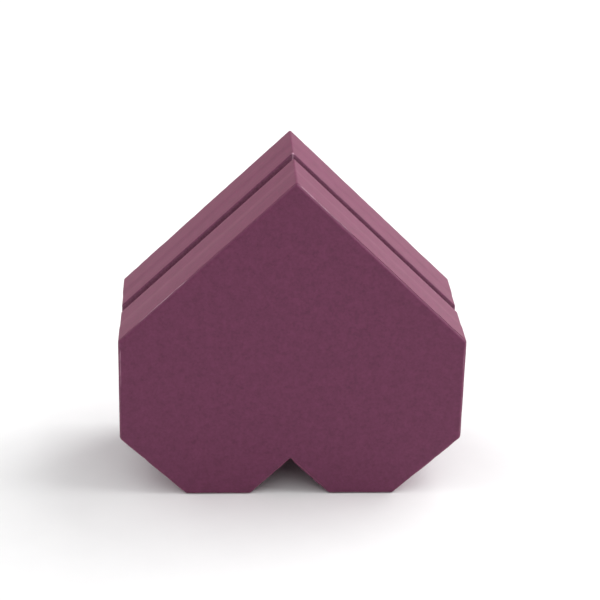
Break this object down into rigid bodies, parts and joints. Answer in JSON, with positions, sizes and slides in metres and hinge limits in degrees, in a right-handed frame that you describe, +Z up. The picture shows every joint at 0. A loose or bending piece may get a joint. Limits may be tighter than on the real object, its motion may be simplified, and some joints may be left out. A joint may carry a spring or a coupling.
{
  "type": "heart-shaped gift box",
  "caption": "Faceted heart-shaped rigid gift box in plain plum paper, standing on its lobes, with a lift-off lid that seats on an inner neck and leaves a narrow reveal.",
  "frame": {"origin": "on the surface that the lobes stand on, midway across the heart and midway through the box's depth", "axes": "+Z up through the heart's point, +Y from the lid's face to the base's back, +X to the right as seen from the lid"},
  "size_m": [0.13, 0.059, 0.128],
  "materials": {
    "plum_paper": "matte",
    "lining_paper": "matte",
    "greyboard": "matte",
    "stay_tape": "matte"
  },
  "bodies": {
    "base": {"base_panel_board": "greyboard", "base_wall_left": "greyboard", "base_wall_right": "greyboard", "base_corner_stays": "stay_tape", "base_panel_sheet": "plum_paper", "base_side_strip": "plum_paper", "base_floor_lining": "lining_paper", "neck_wall_left": "greyboard", "neck_wall_right": "greyboard", "neck_corner_stays": "stay_tape", "neck_strip": "plum_paper"},
    "lid": {"lid_panel_board": "greyboard", "lid_wall_left": "greyboard", "lid_wall_right": "greyboard", "lid_corner_stays": "stay_tape", "lid_panel_sheet": "plum_paper", "lid_side_strip": "plum_paper", "lid_lining": "lining_paper"}
  },
  "joints": [
    {"name": "lid_lift", "type": "slide", "parent": "base", "child": "lid", "axis": [0, -1, 0], "range_m": [0, 0.1]}
  ]
}
